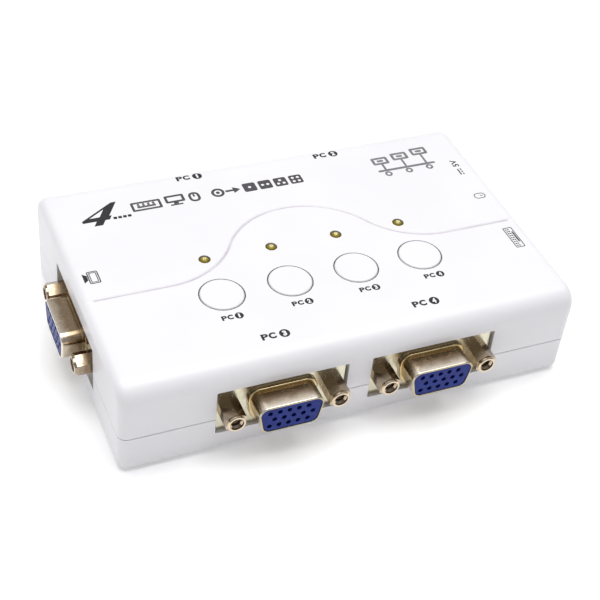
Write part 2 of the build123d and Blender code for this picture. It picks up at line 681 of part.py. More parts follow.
def video_switch_chips():
    """Bodies of the chips that switch the colour and sync lines."""
    return [Pos(x, y, 0) * chip_body(*VIDEO_CHIP) for x, y in VIDEO_CHIP_SPOTS]


def all_chip_legs():
    """Legs of every chip."""
    made = []
    for x, y in VIDEO_CHIP_SPOTS:
        made += [Pos(x, y, 0) * leg for leg in chip_legs(*VIDEO_CHIP[:2], VIDEO_CHIP_LEGS, CHIP_LEG_PITCH)]
    x, y = CONTROLLER_SPOT
    made += [Pos(x, y, 0) * leg for leg in chip_legs(*CONTROLLER[:2], CONTROLLER_LEGS, CHIP_LEG_PITCH)]
    return made


def crystal():
    """Low metal can with round ends on a thin base."""
    can = Pos(*CRYSTAL_SPOT, BOARD_TOP + 0.4) * extrude(SlotOverall(10.6, 4.3), 3.0)
    can = fillet(can.faces().sort_by(Axis.Z)[-1].edges(), 0.4)
    base = Pos(*CRYSTAL_SPOT, BOARD_TOP) * extrude(SlotOverall(11.4, 4.9), 0.4)
    return can + base


def voltage_regulator():
    """Three-legged regulator with its wide cooling tab."""
    x, y = REGULATOR_SPOT
    body = slab(6.5, 3.5, 1.6, BOARD_TOP + 0.05, x, y)
    body = chamfer(body.edges().group_by(Axis.Z)[-1], 0.3)
    tab = slab(3.0, 1.9, 0.3, BOARD_TOP, x, y + 2.6)
    legs = [slab(0.7, 1.9, 0.3, BOARD_TOP, x + i * 2.3, y - 2.6) for i in (-1, 0, 1)]
    return body + tab + legs


def capacitor(x, y):
    """Electrolytic can with a rolled groove near its foot."""
    can = post(CAPACITOR_R, CAPACITOR_H, BOARD_TOP)
    can = fillet(can.faces().sort_by(Axis.Z)[-1].edges(), 0.4)
    groove_ring = Pos(0, 0, BOARD_TOP + 1.3) * Torus(CAPACITOR_R + 0.15, 0.4)
    return Pos(x, y, 0) * (can - groove_ring)


def chip_components():
    """Small chip resistors and capacitors beside the chips and the sockets."""
    spots = [(-40.0 + 4.0 * i, 17.0) for i in range(11)]
    spots += [(-9.0 + 4.0 * i, -4.6) for i in range(5)]
    spots += [(26.0 + 4.0 * i, -4.6) for i in range(3)]
    return [Pos(x, y, 0) * slab(2.0, 1.25, 0.55, BOARD_TOP) for x, y in spots]


def board_hole_spots():
    """Every soldered hole in the board, as (x, y)."""
    spots = []
    for place in VGA_PLACES.values():
        spots += [board_spot(place, x, tail_y) for x, _, tail_y in vga_rows()]
    for place in USB_PLACES.values():
        spots += [board_spot(place, x, USB_SET + USB_L + 0.775) for x in USB_PINS]
    for x in LED_XS:
        spots += [(x + side * LED_LEAD_PITCH / 2, LED_Y) for side in (-1, 1)]
    return spots


def jack_slots():
    """Slots in the board for the flat tails of the DC jack."""
    back = WALL + 0.1 + JACK_L
    length = JACK_TAIL_W + 0.4
    slots = [slab(length, 0.8, JACK_Z, -JACK_Z, x, back + 0.3) for x in (0, 3.2)]
    slots.append(slab(0.8, length, JACK_Z, -JACK_Z, -JACK_W / 2 - 0.2, back - 5.0))
    return [JACK_PLACE * slot for slot in slots]


def circuit_board():
    """Green board with cut-out corners, screw holes and soldered holes."""
    board = slab(BOARD_W, BOARD_D, BOARD_T, BOARD_Z)
    cuts = []
    for sx, sy in CORNERS:
        x = sx * (BOARD_W - BOARD_NOTCH) / 2
        y = sy * (BOARD_D - BOARD_NOTCH) / 2
        cuts.append(slab(BOARD_NOTCH + 0.02, BOARD_NOTCH + 0.02, BOARD_T + 2 * OVER, BOARD_Z - OVER, x, y))
        screw_r = BOARD_THREAD_R + 2 * SCREW_CLEAR
        cuts.append(post(screw_r, BOARD_T + 2 * OVER, BOARD_Z - OVER, sx * BOARD_SCREW_X, sy * BOARD_SCREW_Y))
    cuts += [post(TAIL_HOLE_R, BOARD_T + 2 * OVER, BOARD_Z - OVER, x, y) for x, y in board_hole_spots()]
    return board - cuts - jack_slots()


# ---------------------------------------------------------------- the whole part
def main():
    save("upper_cover", [upper_cover()])
    save("lower_cover", [lower_cover()])
    save("case_screws", case_screws())
    save("board_screws", board_screws())
    save("rubber_feet", rubber_feet())
    for number, x in enumerate(BUTTON_XS, start=1):
        save(f"button_{number}", [button(x)])
        save(f"switch_plunger_{number}", [switch_plunger(x)])
    save("switch_bases", [switch_base(x) for x in BUTTON_XS])
    save("switch_frames", [switch_frame(x) for x in BUTTON_XS])
    save("switch_domes", [switch_dome(x) for x in BUTTON_XS])
    for number, x in enumerate(LED_XS, start=1):
        save(f"led_{number}", [led(x)])
    save("led_leads", [lead for x in LED_XS for lead in led_leads(x)])

    vga_nodes = {
        "vga_shell": [vga_shell()],
        "vga_insulator": [vga_insulator()],
        "vga_base": [vga_base()],
        "vga_contacts": vga_contacts(),
        "jackscrews": [jackscrew(-1), jackscrew(1)],
    }
    for socket, place in VGA_PLACES.items():
        for node, parts in vga_nodes.items():
            save(f"{socket}_{node}", [place * part for part in parts])

    usb_nodes = {"shell": [usb_shell()], "tongue": [usb_tongue()], "contacts": usb_contacts()}
    for socket, place in USB_PLACES.items():
        for node, parts in usb_nodes.items():
            save(f"{socket}_{node}", [place * part for part in parts])

    save("dc_jack_housing", [JACK_PLACE * dc_jack_housing()])
    save("dc_jack_pin", [JACK_PLACE * dc_jack_pin()])
    save("dc_jack_contacts", [JACK_PLACE * contact for contact in dc_jack_contacts()])
    save("circuit_board", [circuit_board()])
    save("video_switch_chips", video_switch_chips())
    save("controller_chip", [Pos(*CONTROLLER_SPOT, 0) * chip_body(*CONTROLLER)])
    save("chip_legs", all_chip_legs())
    save("crystal", [crystal()])
    save("voltage_regulator", [voltage_regulator()])
    save("filter_capacitors", [capacitor(x, y) for x, y in CAPACITOR_SPOTS])
    save("chip_components", chip_components())


main()
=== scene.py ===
import json
import math

import bmesh
import bpy
from mathutils import Matrix, Quaternion, Vector
from mathutils.bvhtree import BVHTree


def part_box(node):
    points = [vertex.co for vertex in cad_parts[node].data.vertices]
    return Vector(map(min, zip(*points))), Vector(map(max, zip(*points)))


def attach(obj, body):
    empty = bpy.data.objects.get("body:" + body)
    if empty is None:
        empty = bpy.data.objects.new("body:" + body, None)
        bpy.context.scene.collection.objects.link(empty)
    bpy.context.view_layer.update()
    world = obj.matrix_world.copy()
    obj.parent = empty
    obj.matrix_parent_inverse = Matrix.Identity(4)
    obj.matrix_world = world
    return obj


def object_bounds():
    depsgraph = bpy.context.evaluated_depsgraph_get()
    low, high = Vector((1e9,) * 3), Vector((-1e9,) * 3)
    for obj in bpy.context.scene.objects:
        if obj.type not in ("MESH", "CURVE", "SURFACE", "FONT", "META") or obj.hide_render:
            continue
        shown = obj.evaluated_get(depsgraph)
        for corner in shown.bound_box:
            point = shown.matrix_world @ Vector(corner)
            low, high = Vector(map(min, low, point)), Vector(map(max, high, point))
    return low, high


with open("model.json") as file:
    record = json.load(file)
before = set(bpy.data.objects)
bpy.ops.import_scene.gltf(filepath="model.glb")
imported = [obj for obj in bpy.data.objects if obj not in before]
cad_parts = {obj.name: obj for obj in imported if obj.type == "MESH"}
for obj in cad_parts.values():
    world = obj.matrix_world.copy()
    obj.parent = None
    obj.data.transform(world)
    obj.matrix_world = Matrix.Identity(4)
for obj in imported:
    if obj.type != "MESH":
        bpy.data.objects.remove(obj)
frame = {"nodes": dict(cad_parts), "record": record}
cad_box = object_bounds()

MM = 0.001
nodes = frame["nodes"]

# ------------------------------------------------------------------ places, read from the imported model
casing_low, casing_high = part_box("lower_cover")
top_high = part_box("upper_cover")[1]
CENTRE = Vector(((casing_low.x + casing_high.x) / 2, (casing_low.y + casing_high.y) / 2, casing_low.z))
CASE_W = (casing_high.x - casing_low.x) / MM
CASE_D = (casing_high.y - casing_low.y) / MM
CASE_H = (top_high.z - casing_low.z) / MM
TOP_Z = top_high.z / MM         # the flat top, in mm of the row frame
TOP_ROUNDING = 5.2              # the top's front and back edges round over within this distance
INK_HALF = 0.009                # half the thickness of a printed plate
JACKSCREW_SPACING = 24.99
USB_RIM = 0.45                  # how far the rim of a USB shell stands out round its tube
USB_WALL = 0.3
USB_HEIGHT = 5.7


def place(x, y, z):
    """A point of the casing's own frame, in mm, as a point of the row frame, in metres."""
    return CENTRE + Vector((x, y, z)) * MM


def middle(node):
    """The middle of a CAD node's box, in mm of the casing's own frame."""
    low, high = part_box(node)
    return ((low + high) / 2 - CENTRE) / MM


# ------------------------------------------------------------------ finishes
def linear(r, g, b):
    """An 8-bit screen colour as linear light."""
    out = []
    for c in (r, g, b):
        c = c / 255
        out.append(c / 12.92 if c <= 0.04045 else ((c + 0.055) / 1.055) ** 2.4)
    return (*out, 1.0)


class Finish:
    """A surface whose colour, roughness and relief come from patterns laid out in mm on the object."""

    def __init__(self, name, rough, metal=0.0, **sockets):
        self.material = bpy.data.materials.new(name)
        self.material.use_nodes = True
        self.tree = self.material.node_tree
        self.shader = self.tree.nodes["Principled BSDF"]
        self.shader.inputs["Roughness"].default_value = rough
        self.shader.inputs["Metallic"].default_value = metal
        for key, value in sockets.items():
            self.shader.inputs[key.replace("_", " ")].default_value = value
        self.coords = self.add("ShaderNodeTexCoord")
        self.mm = self.stretch((1, 1, 1))

    def add(self, kind, **settings):
        made = self.tree.nodes.new(kind)
        for key, value in settings.items():
            setattr(made, key, value)
        return made

    def link(self, source, target):
        if isinstance(source, (int, float, tuple)):
            target.default_value = source
        else:
            self.tree.links.new(source, target)

    def stretch(self, scale):
        """Object coordinates in mm, with each axis scaled."""
        mapping = self.add("ShaderNodeMapping")
        mapping.inputs["Scale"].default_value = [1000 * s for s in scale]
        self.link(self.coords.outputs["Object"], mapping.inputs["Vector"])
        return mapping.outputs["Vector"]

    def noise(self, per_mm, detail=3.0, grain=0.55, at=None, bend=0.0):
        n = self.add("ShaderNodeTexNoise")
        self.link(at or self.mm, n.inputs["Vector"])
        n.inputs["Scale"].default_value = per_mm
        n.inputs["Detail"].default_value = detail
        n.inputs["Roughness"].default_value = grain
        n.inputs["Distortion"].default_value = bend
        return n.outputs["Fac"]

    def cells(self, per_mm):
        n = self.add("ShaderNodeTexVoronoi", feature="F1")
        self.link(self.mm, n.inputs["Vector"])
        n.inputs["Scale"].default_value = per_mm
        return n.outputs["Distance"]

    def calc(self, operation, a, b=0.0):
        n = self.add("ShaderNodeMath", operation=operation)
        self.link(a, n.inputs[0])
        self.link(b, n.inputs[1])
        return n.outputs["Value"]

    def axis(self, which):
        n = self.add("ShaderNodeSeparateXYZ")
        self.link(self.mm, n.inputs["Vector"])
        return n.outputs[which]

    def range(self, value, low, high, out_low=0.0, out_high=1.0):
        """A smooth step from out_low to out_high while the value goes from low to high."""
        n = self.add("ShaderNodeMapRange", interpolation_type="SMOOTHSTEP")
        self.link(value, n.inputs["Value"])
        for key, number in (("From Min", low), ("From Max", high), ("To Min", out_low), ("To Max", out_high)):
            n.inputs[key].default_value = number
        return n.outputs["Result"]

    def mix(self, factor, a, b):
        """Colour a turning into colour b. Sockets 6, 7 and output 2 are the node's colour ones."""
        n = self.add("ShaderNodeMix", data_type="RGBA")
        self.link(factor, n.inputs["Factor"])
        self.link(a, n.inputs[6])
        self.link(b, n.inputs[7])
        return n.outputs[2]

    def colour(self, source):
        self.link(source, self.shader.inputs["Base Color"])

    def rough(self, source):
        self.link(source, self.shader.inputs["Roughness"])

    def relief(self, *layers):
        """Raised detail: each layer is (height 0 to 1, depth in mm)."""
        normal = None
        for height, depth in layers:
            n = self.add("ShaderNodeBump")
            n.inputs["Strength"].default_value = 1.0
            n.inputs["Distance"].default_value = depth * MM
            self.link(height, n.inputs["Height"])
            if normal is not None:
                self.link(normal, n.inputs["Normal"])
            normal = n.outputs["Normal"]
        self.link(normal, self.shader.inputs["Normal"])


def moulded_abs(name, shade, rough, grain_depth):
    """Glossy white ABS: slight colour drift, grey dust mixed with painted shade down in the groove and the
    holes of the top, and a very fine grain.
    """
    f = Finish(name, rough, IOR=1.53)
    drift = f.range(f.noise(0.035, 2.0), 0.3, 0.7)
    base = f.mix(drift, linear(*[c - 3 for c in shade]), linear(*shade))
    # Painted shade mixed with grey dust: the colour turns grey below the flat top, in the groove and down the
    # walls of the holes.
    below_top = f.range(f.axis("Z"), TOP_Z - 0.3, TOP_Z - 0.06, 1.0, 0.0)
    down = f.calc("MULTIPLY", below_top, f.range(f.axis("Z"), TOP_Z - 1.6, TOP_Z - 0.8))
    along_x = f.range(f.calc("ABSOLUTE", f.calc("SUBTRACT", f.axis("X"), CENTRE.x / MM)), CASE_W / 2 - 3.2,
                      CASE_W / 2 - 2.6, 1.0, 0.0)
    along_y = f.range(f.calc("ABSOLUTE", f.axis("Y")), CASE_D / 2 - 7.0, CASE_D / 2 - 6.0, 1.0, 0.0)
    dust_and_shade = f.calc("MULTIPLY", f.calc("MULTIPLY", down, along_x), along_y)
    dust_and_shade = f.calc("MULTIPLY", dust_and_shade, f.range(f.noise(0.15, 3.0), 0.3, 0.7, 0.55, 1.0))
    f.colour(f.mix(dust_and_shade, base, linear(196, 188, 199)))
    f.rough(f.range(f.noise(0.12, 2.0, 0.5), 0.25, 0.75, rough - 0.02, rough + 0.03))
    f.relief((f.noise(0.05, 1.0), 0.02), (f.noise(1.1, 1.0, 0.4), grain_depth))
    return f.material


def drawn_metal(name, bright, dark, rough, along=(1, 1, 1), streak=3.0, specks=0.15, depth=0.0012):
    """Plated sheet metal: streaks along the drawing direction, soft stains and small pits."""
    f = Finish(name, rough, 1.0)
    lines = f.noise(streak, 4.0, 0.65, at=f.stretch(along))
    stain = f.range(f.noise(0.3, 3.0, 0.55, bend=0.5), 0.45, 0.75)
    pits = f.range(f.cells(2.0), 0.0, 0.12, 1.0, 0.0)
    duller = [(3 * b + d) / 4 for b, d in zip(bright, dark)]
    base = f.mix(f.range(lines, 0.3, 0.75), linear(*bright), linear(*duller))
    base = f.mix(f.calc("MULTIPLY", stain, 0.35), base, linear(*dark))
    f.colour(f.mix(f.calc("MULTIPLY", pits, specks), base, linear(*[c * 0.6 for c in dark])))
    streaked = f.range(lines, 0.25, 0.75, rough - 0.06, rough + 0.08)
    f.rough(f.calc("ADD", streaked, f.calc("MULTIPLY", stain, 0.08)))
    f.relief((lines, depth), (pits, 0.001))
    return f


def out_of_wall(f):
    """How far a point stands out of the casing's nearest side wall, in mm."""
    x = f.calc("SUBTRACT", f.calc("ABSOLUTE", f.calc("SUBTRACT", f.axis("X"), CENTRE.x / MM)), CASE_W / 2)
    y = f.calc("SUBTRACT", f.calc("ABSOLUTE", f.calc("SUBTRACT", f.axis("Y"), CENTRE.y / MM)), CASE_D / 2)
    return f.calc("MAXIMUM", x, y)


def socket_shell():
    """Warm nickel plating with painted reflections and highlights set by distance from the wall: a pale
    flange, a gold-toned fold, then dark brown up to a bright rim.
    """
    f = drawn_metal("connector_shell", (226, 214, 196), (196, 178, 152), 0.2, (1, 1, 0.3), 1.6)
    base = f.shader.inputs["Base Color"].links[0].from_socket
    out = out_of_wall(f)
    # Painted reflection: the flange set behind the wall is turned pale.
    flange_reflection = f.range(out, -0.86, -0.78, 1.0, 0.0)
    # Painted highlight: a gold-toned line along the fold of the step round the shell's root.
    fold_highlight = f.calc("MULTIPLY", f.range(out, -0.16, -0.04), f.range(out, 0.1, 0.2, 1.0, 0.0))
    wander = f.range(f.noise(0.5, 2.0), 0.3, 0.7, -0.3, 0.3)
    # Painted reflection: dark brown near the wall, clearing towards the front of the shell.
    dark_reflection = f.range(f.calc("ADD", out, wander), 2.2, 4.9, 0.92, 0.0)
    base = f.mix(dark_reflection, base, linear(148, 126, 98))
    base = f.mix(f.calc("MULTIPLY", fold_highlight, 0.55), base, linear(248, 224, 166))
    base = f.mix(flange_reflection, base, linear(212, 207, 184))
    # Painted highlight: bright cream from about 4.3 mm out of the wall to the front of the shell.
    base = f.mix(f.range(out, 4.3, 4.95, 0.0, 0.7), base, linear(254, 246, 230))
    # Painted reflection: a darker yellow on the front face of the rim.
    f.colour(f.mix(f.range(out, 5.36, 5.42, 0.0, 0.75), base, linear(158, 146, 100)))
    return f.material


def jackscrew():
    """Turned and plated hexagon: fine tool marks, a painted dark reflection at the root, lighter half way,
    and a painted highlight as a bright front ring.
    """
    f = Finish("jackscrew_nickel", 0.2, 1.0)
    out = out_of_wall(f)
    rings = f.noise(6.0, 2.0, 0.5, at=f.stretch((0.4, 0.4, 0.4)))
    stain = f.range(f.noise(0.5, 3.0), 0.35, 0.7)
    base = f.mix(f.range(rings, 0.3, 0.7), linear(206, 192, 172), linear(190, 174, 152))
    # Painted reflection: dark brown from the root to about 2 mm out of the wall, with a wandering edge.
    edge = f.calc("ADD", out, f.range(f.noise(0.8, 2.0), 0.3, 0.7, -0.3, 0.3))
    base = f.mix(f.range(edge, 1.4, 2.3, 0.86, 0.3), base, linear(146, 124, 98))
    base = f.mix(f.calc("MULTIPLY", stain, 0.25), base, linear(140, 122, 98))
    # Painted highlight: a bright ring at the front end.
    f.colour(f.mix(f.range(out, 3.7, 4.0, 0.0, 0.6), base, linear(232, 216, 190)))
    f.rough(f.range(stain, 0.0, 1.0, 0.14, 0.26))
    f.relief((rings, 0.0015))
    return f.material


def blue_moulding():
    """Satin glass-filled plastic: short pale fibres and gate swirls."""
    f = Finish("blue_insulator", 0.38, IOR=1.45, Specular_IOR_Level=0.25)
    swirl = f.range(f.noise(0.5, 3.0, bend=1.2), 0.35, 0.65)
    fibre = f.range(f.noise(6.0, 2.0, 0.7, at=f.stretch((1, 0.25, 0.6))), 0.62, 0.74)
    base = f.mix(swirl, linear(15, 38, 124), linear(22, 48, 138))
    f.colour(f.mix(f.calc("MULTIPLY", fibre, 0.15), base, linear(60, 82, 176)))
    f.rough(f.range(f.noise(1.5), 0.3, 0.7, 0.32, 0.46))
    f.relief((f.noise(4.0, 3.0), 0.003))
    return f.material


def tinted_lens():
    """Tinted epoxy dome of an unlit LED: an olive rim darkened with painted shade, a pale ring that is a
    painted highlight, and a darker spot in the middle.
    """
    f = Finish("led_lens", 0.12, IOR=1.45)
    centre = f.add("ShaderNodeVectorMath", operation="SUBTRACT")
    f.link(f.coords.outputs["Generated"], centre.inputs[0])
    centre.inputs[1].default_value = (0.5, 0.5, 0.5)
    flat = f.add("ShaderNodeVectorMath", operation="MULTIPLY")
    f.link(centre.outputs["Vector"], flat.inputs[0])
    flat.inputs[1].default_value = (3.8, 3.8, 0.0)
    size = f.add("ShaderNodeVectorMath", operation="LENGTH")
    f.link(flat.outputs["Vector"], size.inputs[0])
    radius = f.calc("ADD", size.outputs["Value"], f.range(f.noise(2.5), 0.3, 0.7, -0.1, 0.1))
    # Painted highlight: a pale ring round the darker spot in the middle.
    inner = f.mix(f.range(radius, 0.08, 0.22), linear(170, 152, 50), linear(240, 232, 180))
    ring_tone = f.mix(f.range(radius, 0.34, 0.55), inner, linear(146, 130, 22))
    # Painted shade: the olive turns darker towards the rim.
    f.colour(f.mix(f.range(radius, 0.8, 1.1), ring_tone, linear(120, 104, 10)))
    f.relief((f.noise(1.2), 0.01))
    return f.material


def plain_moulding(name, shade, rough, grain=3.0, depth=0.006):
    f = Finish(name, rough)
    flow = f.range(f.noise(0.35, 3.0, bend=0.8), 0.3, 0.7)
    dust_and_shade = f.range(f.noise(5.0, 2.0), 0.6, 0.78)
    base = f.mix(flow, linear(*[c * 0.9 for c in shade]), linear(*shade))
    f.colour(f.mix(f.calc("MULTIPLY", dust_and_shade, 0.2), base, linear(*[c + (255 - c) * 0.25 for c in shade])))
    f.rough(f.range(f.noise(1.1), 0.3, 0.7, rough - 0.06, rough + 0.08))
    f.relief((f.noise(grain, 3.0), depth))
    return f.material


def board():
    """Green solder mask over copper: a grid of raised tracks and larger patches of copper."""
    f = Finish("board_laminate", 0.3)
    grid = f.add("ShaderNodeTexBrick", offset=0.5)
    f.link(f.mm, grid.inputs["Vector"])
    grid.inputs["Scale"].default_value = 0.22
    grid.inputs["Mortar Size"].default_value = 0.035
    grid.inputs["Color1"].default_value = (0, 0, 0, 1)
    grid.inputs["Color2"].default_value = (0.2, 0.2, 0.2, 1)
    grid.inputs["Mortar"].default_value = (1, 1, 1, 1)
    track = grid.outputs["Fac"]
    pour = f.range(f.noise(0.12, 2.0), 0.48, 0.52)
    base = f.mix(pour, linear(14, 86, 44), linear(22, 108, 56))
    f.colour(f.mix(f.calc("MULTIPLY", track, 0.6), base, linear(60, 150, 84)))
    f.rough(f.range(f.noise(1.5), 0.3, 0.7, 0.24, 0.4))
    f.relief((track, 0.03), (f.noise(2.2), 0.01))
    return f.material


def rubber():
    f = Finish("foot_rubber", 0.75)
    bloom = f.range(f.noise(0.5, 4.0, 0.6), 0.4, 0.75)
    f.colour(f.mix(bloom, linear(34, 34, 36), linear(62, 61, 60)))
    f.rough(f.range(bloom, 0.0, 1.0, 0.66, 0.86))
    f.relief((f.noise(2.6, 4.0, 0.7), 0.03), (f.cells(1.8), 0.015))
    return f.material


finishes = {
    "case_plastic": moulded_abs("case_plastic", (240, 239, 242), 0.34, 0.0006),
    "button_plastic": moulded_abs("button_plastic", (241, 240, 242), 0.33, 0.0005),
    "led_lens": tinted_lens(),
    "tinned_steel": drawn_metal("tinned_steel", (212, 211, 206), (150, 148, 142), 0.34).material,
    "switch_plastic": plain_moulding("switch_plastic", (38, 38, 40), 0.5),
    "spring_steel": drawn_metal("spring_steel", (206, 206, 206), (140, 140, 142), 0.26, (1, 0.1, 1)).material,
    "connector_shell": socket_shell(),
    "blue_insulator": blue_moulding(),
    "contact_metal": drawn_metal("contact_metal", (232, 200, 128), (176, 140, 76), 0.22).material,
    "jackscrew_nickel": jackscrew(),
    "usb_steel": drawn_metal("usb_steel", (222, 221, 216), (164, 162, 156), 0.22, (0.15, 1, 1)).material,
    "usb_plastic": plain_moulding("usb_plastic", (226, 225, 220), 0.42),
    "black_plastic": plain_moulding("black_plastic", (26, 26, 28), 0.36),
    "board_laminate": board(),
    "chip_epoxy": plain_moulding("chip_epoxy", (40, 40, 43), 0.6, 4.5, 0.02),
    "can_metal": drawn_metal("can_metal", (218, 218, 220), (168, 168, 172), 0.28, (1, 1, 0.1)).material,
    "chip_ceramic": plain_moulding("chip_ceramic", (160, 140, 112), 0.55),
    "screw_steel": drawn_metal("screw_steel", (196, 198, 204), (120, 120, 126), 0.3).material,
    "foot_rubber": rubber(),
}
for part in frame["record"]["subparts"]:
    mesh = nodes[part["node"]].data
    mesh.materials.clear()
    mesh.materials.append(finishes[part["material_slot"]])

ink_finish = plain_moulding("print_ink", (32, 29, 35), 0.62, 6.0, 0.001)
grey_ink_finish = plain_moulding("print_grey_ink", (74, 71, 77), 0.62, 6.0, 0.001)
pale_ink_finish = plain_moulding("print_pale_ink", (128, 126, 131), 0.62, 6.0, 0.001)


# ------------------------------------------------------------------ printed marks
top = nodes["upper_cover"].data
top_tree = BVHTree.FromPolygons([v.co for v in top.vertices], [p.vertices for p in top.polygons])


def ring(x, y, radius, count=40):
    return [(x + radius * math.cos(2 * math.pi * i / count), y + radius * math.sin(2 * math.pi * i / count))
            for i in range(count)]


def panel(x0, y0, x1, y1, radius=0.0):
    """Outline of a rectangle with rounded corners."""
    if radius <= 0:
        return [(x0, y0), (x1, y0), (x1, y1), (x0, y1)]
    out = []
    corners = ((x1 - radius, y0 + radius, -90), (x1 - radius, y1 - radius, 0),
               (x0 + radius, y1 - radius, 90), (x0 + radius, y0 + radius, 180))
    for cx, cy, start in corners:
        for i in range(7):
            a = math.radians(start + 15 * i)
            out.append((cx + radius * math.cos(a), cy + radius * math.sin(a)))
    return out


def frame_of(x0, y0, x1, y1, radius, line):
    """A rounded rectangle drawn as a line: the outline and the hole in it."""
    return [panel(x0, y0, x1, y1, radius),
            panel(x0 + line, y0 + line, x1 - line, y1 - line, max(radius - line, 0.05))]


def flat_mesh(data, name):
    holder = bpy.data.objects.new(name, data)
    bpy.context.scene.collection.objects.link(holder)
    bpy.context.view_layer.update()
    mesh = bpy.data.meshes.new_from_object(holder.evaluated_get(bpy.context.evaluated_depsgraph_get()))
    bpy.data.objects.remove(holder)
    bpy.data.curves.remove(data)
    return mesh


def drawn(outlines):
    """A thin printed plate in mm, INK_HALF to each side; an outline inside another is a hole."""
    data = bpy.data.curves.new("drawn", "CURVE")
    data.dimensions = "2D"
    data.fill_mode = "BOTH"
    data.extrude = 0.006
    data.bevel_depth = 0.003
    for points in outlines:
        spline = data.splines.new("POLY")
        spline.points.add(len(points) - 1)
        for p, (x, y) in zip(spline.points, points):
            p.co = (x, y, 0, 1)
        spline.use_cyclic_u = True
    return flat_mesh(data, "drawn")


def lettering(text, height, width, weight):
    """Letters as a thin printed plate in mm, with the lower left corner at the origin."""
    data = bpy.data.curves.new("lettering", "FONT")
    data.body = text
    data.size = 1.0
    data.offset = weight
    data.extrude = 0.002
    data.resolution_u = 6
    mesh = flat_mesh(data, "lettering")
    xs = [v.co.x for v in mesh.vertices]
    ys = [v.co.y for v in mesh.vertices]
    fit = Matrix.Diagonal((width / (max(xs) - min(xs)), height / (max(ys) - min(ys)), 4.5, 1))
    mesh.transform(fit @ Matrix.Translation((-min(xs), -min(ys), 0)))
    return mesh


def printed(name, meshes, finish, lift=0.004):
    """Joins plates, given as (mesh, x, y, turn), into one piece that follows the top of the casing."""
    bm = bmesh.new()
    for mesh, x, y, turn in meshes:
        mesh.transform(Matrix.Translation((x, y, 0)) @ Matrix.Rotation(math.radians(turn), 4, "Z"))
        bm.from_mesh(mesh)
        bpy.data.meshes.remove(mesh)
    bmesh.ops.triangulate(bm, faces=[f for f in bm.faces if len(f.verts) > 4])
    edge = CASE_D / 2 - TOP_ROUNDING
    if max(abs(v.co.y) for v in bm.verts) > edge:
        low, high = min(v.co.y for v in bm.verts), max(v.co.y for v in bm.verts)
        for i in range(1, 16):
            cut = low + (high - low) * i / 16
            every = bm.verts[:] + bm.edges[:] + bm.faces[:]
            bmesh.ops.bisect_plane(bm, geom=every, plane_co=(0, cut, 0), plane_no=(0, 1, 0))
    for v in bm.verts:
        spot = place(v.co.x, v.co.y, CASE_H + 5)
        hit = top_tree.ray_cast(spot, Vector((0, 0, -1)))[0]
        v.co = Vector((spot.x, spot.y, hit.z + (v.co.z + INK_HALF + lift) * MM))
    mesh = bpy.data.meshes.new(name)
    bm.to_mesh(mesh)
    bm.free()
    mesh.materials.append(finish)
    piece = bpy.data.objects.new(name, mesh)
    bpy.context.scene.collection.objects.link(piece)
    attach(piece, "casing")


def port_label(name, number, x, y, letter_h, letter_w, disc_x, disc_y, disc_r):
    """Two letters and a dark disc with a pale numeral in it."""
    printed(name, [(lettering("P", letter_h, letter_w * 0.47, 0.04), x, y, 0),
                   (lettering("C", letter_h, letter_w * 0.5, 0.055), x + letter_w * 0.5, y, 0),
                   (drawn([ring(disc_x, disc_y, disc_r)]), 0, 0, 0)], ink_finish)
    h = disc_r * 1.3
    w = h * (0.3 if number == 1 else 0.58)
    printed(name + "_number", [(lettering(str(number), h, w, 0.06), disc_x - w / 2, disc_y - h / 2, 0)],
            finishes["case_plastic"], 0.014)


buttons = [middle("button_%d" % i) for i in (1, 2, 3, 4)]
for i, (b, dx) in enumerate(zip(buttons, (0.0, 0.2, 0.3, 0.3)), 1):
    x = b.x + dx
    port_label("button_%d_label" % i, i, x - 2.83, b.y - 8.5, 1.5, 2.75, x + 1.34, b.y - 7.8, 1.02)
sockets = {k: middle(k + "_vga_shell") for k in ("pc1", "pc2", "pc3", "pc4")}
for i, (dy, key) in enumerate(((30.85, "pc1"), (30.6, "pc2"), (-29.65, "pc3"), (-29.55, "pc4")), 1):
    s = sockets[key]
    port_label(key + "_label", i, s.x - 3.05, dy, 1.9, 3.5, s.x + 2.48, dy + 0.9, 1.25)

four = [[(-39.9, 27.1), (-38.6, 27.1), (-41.6, 22.2), (-41.0, 22.2), (-41.8, 20.8), (-42.9, 20.8),
         (-44.0, 19.1), (-46.1, 19.1), (-45.1, 20.8), (-48.5, 20.8), (-48.5, 21.6)],
        [(-46.6, 22.2), (-42.3, 24.95), (-44.0, 22.2)]]
printed("title_number", [(drawn(four), 0, 0, 0)], ink_finish)
port_squares = [panel(-40.9 + 1.2 * i, 20.5, -40.0 + 1.2 * i, 21.4, 0.2) for i in range(4)]
printed("title_port_squares", [(drawn([square]), 0, 0, 0) for square in port_squares], ink_finish)


def keyboard_mark(x0, y0, x1, y1, line, key):
    """Outline of a keyboard with rows of keys and a long space bar."""
    shapes = frame_of(x0, y0, x1, y1, 0.4, line)
    inner_w = x1 - x0 - 4 * line
    rows = 3
    pitch_y = (y1 - y0 - 3.2 * line) / rows
    columns = int(inner_w / (key * 1.7))
    for r in range(rows):
        cy = y0 + 1.9 * line + pitch_y * (r + 0.5)
        if r == 0:
            margin = inner_w * 0.28
            shapes.append(panel(x0 + margin, cy - key / 2, x1 - margin, cy + key / 2, key * 0.3))
            continue
        for c in range(columns):
            cx = x0 + 2 * line + inner_w * (c + 0.5) / columns
            shapes.append(panel(cx - key / 2, cy - key / 2, cx + key / 2, cy + key / 2, key * 0.3))
    return shapes


